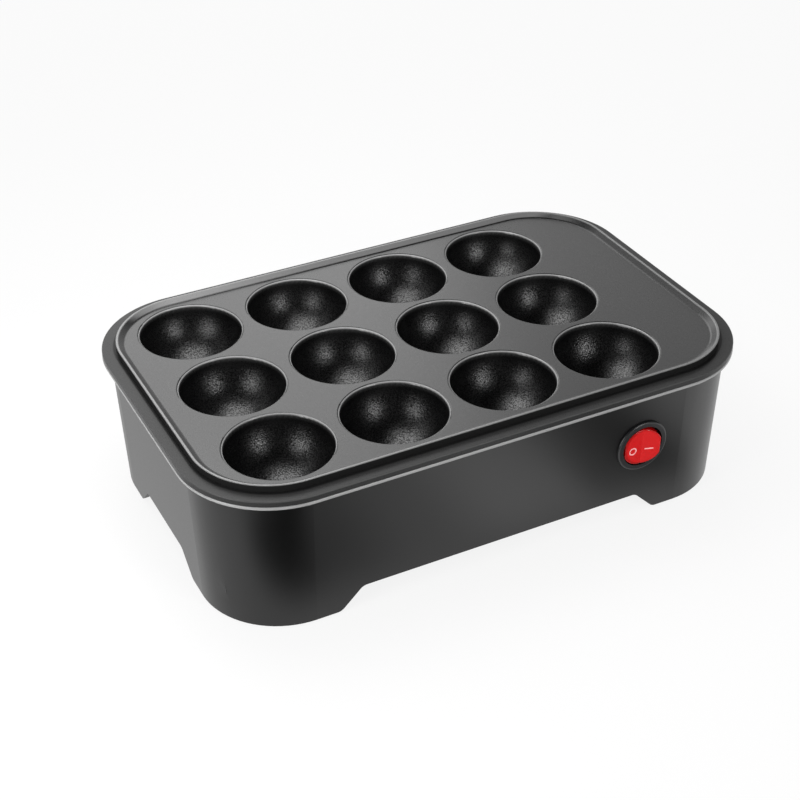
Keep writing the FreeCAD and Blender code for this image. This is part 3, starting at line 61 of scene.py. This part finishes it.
camera_data = bpy.data.cameras.new("camera")
camera_data.sensor_width = 36.0
camera_data.lens = 72.097
camera_data.clip_start, camera_data.clip_end = 0.01, 20.0
camera = bpy.data.objects.new("camera", camera_data)
scene.collection.objects.link(camera)
camera.matrix_world = Matrix((
    (0.8912559, 0.2593785, -0.3720023, -0.2579684),
    (-0.4534008, 0.4924243, -0.7429307, -0.4984186),
    (-0.0095173, 0.8308075, 0.5564785, 0.4081537),
    (0.0, 0.0, 0.0, 1.0),
))
scene.camera = camera
scene.view_settings.view_transform = "Standard"


# Soft boxes: two behind for the flat of the plate, the others for the cups and the walls

def soft_box(name, place, aim, size, radiance):
    data = bpy.data.lights.new(name, "AREA")
    data.shape = "RECTANGLE"
    data.size, data.size_y = size
    data.energy = radiance * math.pi * size[0] * size[1]
    lamp = bpy.data.objects.new(name, data)
    lamp.location = place
    lamp.rotation_euler = (Vector(aim) - Vector(place)).to_track_quat("-Z", "Y").to_euler()
    lamp.visible_camera = False
    scene.collection.objects.link(lamp)


soft_box("box_behind", (0.25, 1.30, 0.93), (0.25, 0, 0.04), size=(1.00, 0.70), radiance=2.5)
soft_box("box_far_right", (1.00, 1.30, 0.93), (1.00, 0, 0.04), size=(0.50, 0.70), radiance=0.2)
soft_box("box_left", (-0.42, -0.15, 0.14), (-0.05, 0, 0.05), size=(0.18, 0.25), radiance=7.4)
soft_box("box_right", (0.42, -1.25, 0.46), (0, 0, 0.04), size=(0.42, 0.42), radiance=13.0)
soft_box("box_above", (-0.075, 0.05, 0.27), (-0.04, 0.02, 0.05), size=(0.20, 0.20), radiance=4.4)


# Node helpers

class Tree:
    """A node tree, with short calls to add and join nodes."""

    def __init__(self, tree):
        self.tree = tree

    def add(self, kind):
        return self.tree.nodes.new(kind)

    def put(self, socket, value):
        if isinstance(value, bpy.types.NodeSocket):
            self.tree.links.new(value, socket)
        else:
            socket.default_value = value

    def math(self, operation, *values):
        made = self.add("ShaderNodeMath")
        made.operation = operation
        self.fill(made, enumerate(values))
        return made.outputs[0]

    def fill(self, made, values):
        """Puts values, each a pair of a socket's place or name and what goes in it."""
        for key, value in values:
            self.put(made.inputs[key], value)

    def vector(self, operation, *values):
        made = self.add("ShaderNodeVectorMath")
        made.operation = operation
        self.fill(made, enumerate(values))
        return made.outputs["Value" if operation in ("LENGTH", "DISTANCE") else "Vector"]

    def split(self, source):
        made = self.add("ShaderNodeSeparateXYZ")
        self.put(made.inputs[0], source)
        return made.outputs

    def ramp(self, source, start, end, low=0.0, high=1.0, smooth=True):
        """A number that goes from low to high as its source goes from start to end."""
        made = self.add("ShaderNodeMapRange")
        made.interpolation_type = "SMOOTHSTEP" if smooth else "LINEAR"
        self.fill(made, (("Value", source), ("From Min", start), ("From Max", end),
                         ("To Min", low), ("To Max", high)))
        return made.outputs["Result"]

    def band(self, source, rise, fall):
        """One between rise and fall, zero outside; each is where it starts and where it ends."""
        return self.math("MULTIPLY", self.ramp(source, *rise), self.ramp(source, *fall, 1.0, 0.0))

    def profile(self, source, stops):
        """A number read off a smooth curve through stops, each a place and a height up to 2."""
        first, last = stops[0][0], stops[-1][0]
        made = self.add("ShaderNodeValToRGB")
        made.color_ramp.interpolation = "EASE"
        points = made.color_ramp.elements
        while len(points) < len(stops):
            points.new(0.5)
        for point, (place, _) in zip(points, stops):
            point.position = (place - first) / (last - first)
        for point, (_, height) in zip(points, stops):
            point.color = (height / 2, height / 2, height / 2, 1)
        self.put(made.inputs[0], self.ramp(source, first, last, smooth=False))
        return self.math("MULTIPLY", made.outputs["Color"], 2.0)

    def choose(self, ray, chosen, otherwise):
        """One strength for a kind of ray, another for the rest."""
        made = self.add("ShaderNodeMix")
        self.fill(made, (("Factor", ray), ("A", otherwise), ("B", chosen)))
        return made.outputs["Result"]


class Nodes(Tree):
    """A material's node tree."""

    def __init__(self, name):
        self.material = bpy.data.materials.new(name)
        self.material.use_nodes = True
        super().__init__(self.material.node_tree)
        self.shader = self.tree.nodes["Principled BSDF"]
        spot = self.add("ShaderNodeTexCoord").outputs
        self.where, self.facing = spot["Object"], spot["Normal"]

    def noise(self, scale, detail, rough=0.5):
        made = self.add("ShaderNodeTexNoise")
        self.fill(made, (("Vector", self.where), ("Scale", scale), ("Detail", detail),
                         ("Roughness", rough)))
        return made.outputs["Fac"]

    def blend(self, source, first, second):
        """A colour between two others, each a socket or three numbers."""
        made = self.add("ShaderNodeMix")
        made.data_type = "RGBA"
        ends = [item for item in made.inputs if item.type == "RGBA"]
        self.put(made.inputs["Factor"], source)
        for socket, value in zip(ends, (first, second)):
            self.put(socket, value if isinstance(value, bpy.types.NodeSocket) else (*value, 1))
        return [item for item in made.outputs if item.type == "RGBA"][0]

    def bump(self, source, depth, strength):
        made = self.add("ShaderNodeBump")
        self.fill(made, (("Height", source), ("Distance", depth), ("Strength", strength)))
        self.put(self.shader.inputs["Normal"], made.outputs["Normal"])

    def finish(self, color, roughness, **more):
        self.put(self.shader.inputs["Base Color"], color)
        self.put(self.shader.inputs["Roughness"], roughness)
        for key, value in more.items():
            self.put(self.shader.inputs[key.replace("_", " ")], value)
        return self.material


def shades(color, mottle):
    """A colour a little darker and a little lighter."""
    return [c * (1 - mottle) for c in color], [min(1.0, c * (1 + mottle)) for c in color]


def surface(name, color, roughness, grain, depth, mottle=0.12, strength=1.0, **more):
    """A finish with its own grain: mottled colour, uneven gloss and a fine bump."""
    made = Nodes(name)
    fine = made.noise(grain, 2.0, 0.6)
    made.bump(fine, depth, strength)
    color = made.blend(made.noise(grain * 0.06, 3.0), *shades(color, mottle))
    return made.finish(color, made.ramp(fine, 0.0, 1.0, *roughness, smooth=False), **more)


def from_cup_axis(made, x, y):
    """Distance to the nearest cup's axis."""
    squares = []
    for value, start, pitch, last in zip((x, y), CUP_START, CUP_PITCH, CUP_LAST):
        along = made.math("SUBTRACT", value, start)
        steps = made.math("ROUND", made.math("DIVIDE", along, pitch))
        steps = made.math("MINIMUM", made.math("MAXIMUM", steps, 0.0), last)
        offset = made.math("SUBTRACT", along, made.math("MULTIPLY", steps, pitch))
        squares.append(made.math("MULTIPLY", offset, offset))
    return made.math("SQRT", made.math("ADD", *squares))


def past_lip(made):
    """Distance outside the lip's rounded outline, seen from above; below zero inside it."""
    flat = made.vector("ABSOLUTE", made.vector("MULTIPLY", made.where, (1, 1, 0)))
    core = (PLATE_HALF[0] - PLATE_CORNER, PLATE_HALF[1] - PLATE_CORNER, 0)
    beyond = made.vector("MAXIMUM", made.vector("SUBTRACT", flat, core), (0, 0, 0))
    return made.math("SUBTRACT", made.vector("LENGTH", beyond), PLATE_CORNER)


def plate_finish():
    """Dark coat: smooth on the flat, speckled in the cups, with painted highlights along its edges and painted
    light on the lip's slope, lip wall and ledge.
    """
    coat, painted_light = (0.0018, 0.0018, 0.0019), (0.13, 0.012, 0.026, 0.28, 0.15, 0.06)
    flat_speckle, speckle_depth = 0.015, 0.00010
    flat_shine, lip_shine, groove_share = 0.5, 0.12, 0.45
    lip_edge, ledge_start, long_side = (-0.0003, -0.0001), (0.0009, 0.0016), (0.062, 0.068)
    made = Nodes("plate_coating")
    x, y, z = made.split(made.where)
    radius, reach = from_cup_axis(made, x, y), past_lip(made)
    in_cup = made.ramp(radius, CUP_RADIUS - 0.0008, CUP_RADIUS + 0.0002, 1.0, 0.0)
    cup_edge = made.band(radius, (CUP_RADIUS - 0.0001, CUP_RADIUS + 0.0003),
                         (CUP_RADIUS + 0.0003, CUP_RADIUS + 0.0006))
    lip_top = made.ramp(z, PLATE_LEVEL + LIP_RISE, PLATE_LEVEL + LIP_RISE + 0.00022)
    slope = made.math("MULTIPLY", made.band(reach, (-0.0031, -0.0026), (-0.0010, -0.0007)),
                      made.ramp(made.math("ABSOLUTE", y), *long_side))
    lip_wall = made.ramp(reach, *lip_edge)
    ledge = made.ramp(reach, *ledge_start)
    groove = made.band(reach, lip_edge, ledge_start)
    ledge_edge = made.math("MULTIPLY", made.ramp(reach, 0.0053, 0.0056),
                           made.ramp(z, PLATE_LEVEL - LEDGE_DROP, PLATE_LEVEL - LEDGE_DROP + 0.0004))
    color = made.blend(made.noise(90.0, 3.0), *shades(coat, 0.12))
    # Painted light: each zone's colour is lifted, as painted highlights on the lip top, cup rims and ledge
    # edge, and as painted light on the long sides' slope, the lip wall and the ledge
    for mask, shade in zip((slope, lip_wall, ledge, cup_edge, lip_top, ledge_edge), painted_light):
        color = made.blend(mask, color, (shade, shade, shade))
    speckle = made.noise(2000.0, 1.0)
    share = made.ramp(in_cup, 0.0, 1.0, flat_speckle, 1.0, smooth=False)
    made.bump(made.math("MULTIPLY", speckle, share), speckle_depth, 1.0)
    sparkle = made.math("SUBTRACT", made.ramp(speckle, 0.36, 0.64, 0.0, 0.62), 0.3)
    shine = made.math("ADD", made.ramp(lip_wall, 0.0, 1.0, flat_shine, lip_shine),
                      made.math("MULTIPLY", sparkle, in_cup))
    shine = made.math("MULTIPLY", shine, made.ramp(groove, 0.0, 1.0, 1.0, groove_share))
    gloss = made.ramp(speckle, 0.0, 1.0, 0.24, 0.34, smooth=False)
    return made.finish(color, gloss, Specular_IOR_Level=shine)


def housing_finish():
    """Black moulded plastic with a painted highlight along its rim, duller where it faces down."""
    plastic, painted_rim_highlight = (0.0026, 0.0026, 0.0027), (0.26, 0.26, 0.26)
    wall_shine, under_shine = 0.5, 0.04
    made = Nodes("housing_plastic")
    rim = made.ramp(made.split(made.where)[2], RIM_BASE + 0.0001, RIM_BASE + 0.0003)
    below = made.ramp(made.split(made.facing)[2], -0.06, -0.18)
    color = made.blend(made.noise(90.0, 3.0), *shades(plastic, 0.12))
    # Painted highlight: the rim above RIM_BASE is coloured light grey
    color = made.blend(rim, color, painted_rim_highlight)
    fine = made.noise(1500.0, 2.0, 0.6)
    made.bump(fine, 0.000004, 0.4)
    return made.finish(color, made.ramp(fine, 0.0, 1.0, 0.27, 0.34, smooth=False),
                       Specular_IOR_Level=made.ramp(below, 0.0, 1.0, wall_shine, under_shine))


def rocker_finish():
    """Red plastic, with painted shade darkening it towards the rocker's edge."""
    red, light_red, painted_shade_red = (0.54, 0.0060, 0.0070), (0.61, 0.0090, 0.0100), (0.34, 0.0010, 0.0010)
    middle = SWITCH_AT + Vector((0, -0.0015, 0))
    made = Nodes("rocker_red")
    # Painted shade: the red darkens towards the rocker's edge
    edge = made.ramp(made.vector("DISTANCE", made.where, tuple(middle)), 0.0070, 0.0084)
    color = made.blend(edge, made.blend(made.noise(60.0, 3.0), red, light_red), painted_shade_red)
    fine = made.noise(900.0, 2.0, 0.6)
    made.bump(fine, 0.00002, 0.4)
    return made.finish(color, made.ramp(fine, 0.0, 1.0, 0.20, 0.30, smooth=False),
                       Specular_IOR_Level=0.22, Coat_Weight=0.12, Coat_Roughness=0.08)


FINISHES = {
    "plate_coating": plate_finish(),
    "housing_plastic": housing_finish(),
    "rocker_red": rocker_finish(),
    "cover_plastic": surface("cover_plastic", (0.035, 0.035, 0.036), (0.50, 0.66), 1200.0, 0.00005),
    "foot_rubber": surface("foot_rubber", (0.020, 0.020, 0.020), (0.62, 0.82), 1800.0, 0.00005),
    "screw_steel": surface("screw_steel", (0.56, 0.56, 0.55), (0.22, 0.42), 900.0, 0.00001, Metallic=1.0),
    "tube_metal": surface("tube_metal", (0.26, 0.24, 0.22), (0.34, 0.58), 500.0, 0.00002, 0.3, Metallic=1.0),
    "ceramic": surface("ceramic", (0.80, 0.77, 0.70), (0.22, 0.38), 700.0, 0.00002, 0.06),
    "shield_metal": surface("shield_metal", (0.72, 0.72, 0.73), (0.20, 0.40), 260.0, 0.00002, Metallic=1.0),
    "phenolic": surface("phenolic", (0.060, 0.035, 0.022), (0.38, 0.56), 700.0, 0.00003, 0.3),
    "switch_black": surface("switch_black", (0.010, 0.010, 0.011), (0.28, 0.38), 1700.0, 0.00001, strength=0.5),
    "terminal_brass": surface("terminal_brass", (0.74, 0.56, 0.26), (0.20, 0.38), 800.0, 0.00001, 0.2,
                              Metallic=1.0),
    "block_plastic": surface("block_plastic", (0.80, 0.80, 0.77), (0.34, 0.50), 500.0, 0.00002, 0.06),
    "wire_brown": surface("wire_brown", (0.16, 0.07, 0.03), (0.36, 0.52), 600.0, 0.00002),
    "wire_blue": surface("wire_blue", (0.03, 0.09, 0.40), (0.36, 0.52), 600.0, 0.00002),
    "wire_green": surface("wire_green", (0.14, 0.42, 0.05), (0.36, 0.52), 600.0, 0.00002),
    "lamp_glass": surface("lamp_glass", (0.9, 0.62, 0.42), (0.04, 0.10), 300.0, 0.00001,
                          Transmission_Weight=0.9),
}

for part in frame["record"]["subparts"]:
    for place in nodes[part["node"]].material_slots:
        place.material = FINISHES[part["material_slot"]]


# Marks on the rocker: a ring on the half that is pressed in, a dash on the half that stands out

lean = Matrix.Rotation(WALL_LEAN, 4, "X")
ROCKER_FRAME = (Matrix.Translation(SWITCH_AT) @ lean @ Matrix.Translation((0, PIVOT_DEPTH, 0))
                @ Matrix.Rotation(ROCKER_TILT, 4, "Z"))
PAINT = surface("mark_paint", (0.90, 0.42, 0.42), (0.30, 0.44), 1500.0, 0.00001, 0.05)
MARK_DROP = -0.0012
MARK_SECTION = ((0.0, -0.00010), (0.0, 0.00003), (0.00006, 0.00005))
ARC_STEPS = 24


def wing_point(side, along, up, out):
    """A point of a wing: distance from the valley, height and distance off its face."""
    slant = math.hypot(1.0, WING_SLOPE)
    face = Vector((side * along / slant, -ROCKER_VALLEY - WING_SLOPE * along / slant, up))
    normal = Vector((-side * WING_SLOPE, -1.0, 0)) / slant
    return ROCKER_FRAME @ (face + normal * out)


def rounded_bar(middle, half, radius):
    """The outline of a bar with round ends; a bar of no length is a circle."""
    points = []
    for end, start in ((1, -0.5), (-1, 0.5)):
        for step in range(ARC_STEPS + 1):
            angle = math.pi * (start + step / ARC_STEPS)
            points.append((middle + end * half + radius * math.cos(angle),
                           MARK_DROP + radius * math.sin(angle)))
    return points


def mark(name, side, outlines, closed):
    """A raised mark skinned over outlines, each a list of points and a height."""
    shell = bmesh.new()
    rings = [[shell.verts.new(wing_point(side, along, up, out)) for along, up in points]
             for points, out in outlines]
    for low, high in zip(rings, rings[1:] + rings[:1] if closed else rings[1:]):
        for index in range(len(low)):
            follow = (index + 1) % len(low)
            shell.faces.new((low[index], low[follow], high[follow], high[index]))
    if not closed:
        shell.faces.new(rings[-1])
        shell.faces.new(list(reversed(rings[0])))
    bmesh.ops.remove_doubles(shell, verts=shell.verts, dist=1e-7)
    bmesh.ops.recalc_face_normals(shell, faces=shell.faces)
    mesh = bpy.data.meshes.new(name)
    shell.to_mesh(mesh)
    shell.free()
    mesh.materials.append(PAINT)
    piece = bpy.data.objects.new(name, mesh)
    scene.collection.objects.link(piece)
    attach(piece, "rocker")


RING_AT, RING_OUTER, RING_INNER = 0.0041, 0.00175, 0.00122
DASH_AT, DASH_HALF, DASH_RADIUS = 0.0031, 0.0016, 0.00028
ring = [(rounded_bar(RING_AT, 0.0, RING_OUTER - inset), out) for inset, out in MARK_SECTION]
ring += [(rounded_bar(RING_AT, 0.0, RING_INNER + inset), out) for inset, out in reversed(MARK_SECTION)]
mark("rocker_ring_mark", -1, ring, closed=True)
dash = [(rounded_bar(DASH_AT, DASH_HALF, DASH_RADIUS - inset), out) for inset, out in MARK_SECTION]
mark("rocker_dash_mark", 1, dash, closed=False)


# Background: white to the eye; for mirrors, bright low behind and dim above and in front

BACKDROP_LIGHT = 0.45
world = bpy.data.worlds.new("studio")
world.use_nodes = True
scene.world = world
sky = Tree(world.node_tree)
rays = sky.add("ShaderNodeLightPath").outputs
toward = sky.split(sky.add("ShaderNodeTexCoord").outputs["Generated"])
mirrored = sky.math("MULTIPLY", sky.ramp(toward["Z"], 0.60, 0.80, 1.0, 0.06),
                    sky.ramp(toward["Y"], -0.10, 0.55, 0.09, 1.0))
glow = sky.choose(rays["Is Glossy Ray"], mirrored, BACKDROP_LIGHT)
glow = sky.choose(rays["Is Transmission Ray"], 1.0, glow)
glow = sky.choose(rays["Is Camera Ray"], 1.0, glow)
sky.fill(sky.tree.nodes["Background"], (("Color", (1, 1, 1, 1)), ("Strength", glow)))


# Floor: pale, lifted towards white for the eye, see-through from below; for mirrors, the part in
# front of the object glows as a painted reflection, a row of painted light and painted shade

FLOOR_HALF = 4.0
FLOOR_COLOR = (0.93, 0.93, 0.93, 1)
FLOOR_GLOW = 0.93
EYE_SHARE = 0.85
PAINTED_REFLECTION_FROM = (-0.075, -0.105)
PAINTED_REFLECTION_STOPS = ((-0.20, 0.85), (-0.165, 0.58), (-0.14, 0.06), (-0.12, 0.02), (-0.10, 0.02), (-0.08, 0.12),
         (-0.06, 0.42), (-0.02, 0.86), (0.02, 1.40), (0.04, 1.30), (0.065, 0.36), (0.09, 0.06),
         (0.13, 1.25), (0.20, 1.30))
paper = Nodes("floor")
paper.finish(FLOOR_COLOR, 0.9, Specular_IOR_Level=0.0)
seen_by = paper.add("ShaderNodeLightPath").outputs
place = paper.split(paper.where)
# Painted reflection: glossy rays see the floor in front glow, painted shade at the dark stops and painted light
# at the bright ones
painted_reflection = paper.math("MULTIPLY", paper.profile(place["X"], PAINTED_REFLECTION_STOPS), paper.ramp(place["Y"], *PAINTED_REFLECTION_FROM))
painted_reflection = paper.math("ADD", painted_reflection, paper.ramp(place["Y"], *PAINTED_REFLECTION_FROM, FLOOR_GLOW, 0.0))


def lay_over(share, shader):
    """Puts another shader over what the floor shows so far, as much as share says."""
    output = paper.tree.nodes["Material Output"].inputs["Surface"]
    mix = paper.add("ShaderNodeMixShader")
    paper.fill(mix, enumerate((share, output.links[0].from_socket, shader.outputs[0])))
    paper.put(output, mix.outputs[0])


def emission(strength):
    made = paper.add("ShaderNodeEmission")
    paper.put(made.inputs["Strength"], strength)
    return made


lay_over(paper.math("MULTIPLY", seen_by["Is Camera Ray"], EYE_SHARE), emission(1.0))
lay_over(seen_by["Is Glossy Ray"], emission(painted_reflection))
lay_over(paper.add("ShaderNodeNewGeometry").outputs["Backfacing"], paper.add("ShaderNodeBsdfTransparent"))

floor_mesh = bpy.data.meshes.new("floor")
floor_mesh.from_pydata([(-FLOOR_HALF, -FLOOR_HALF, 0), (FLOOR_HALF, -FLOOR_HALF, 0),
                        (FLOOR_HALF, FLOOR_HALF, 0), (-FLOOR_HALF, FLOOR_HALF, 0)], [], [(0, 1, 2, 3)])
floor_mesh.materials.append(paper.material)
floor = bpy.data.objects.new("floor", floor_mesh)
scene.collection.objects.link(floor)
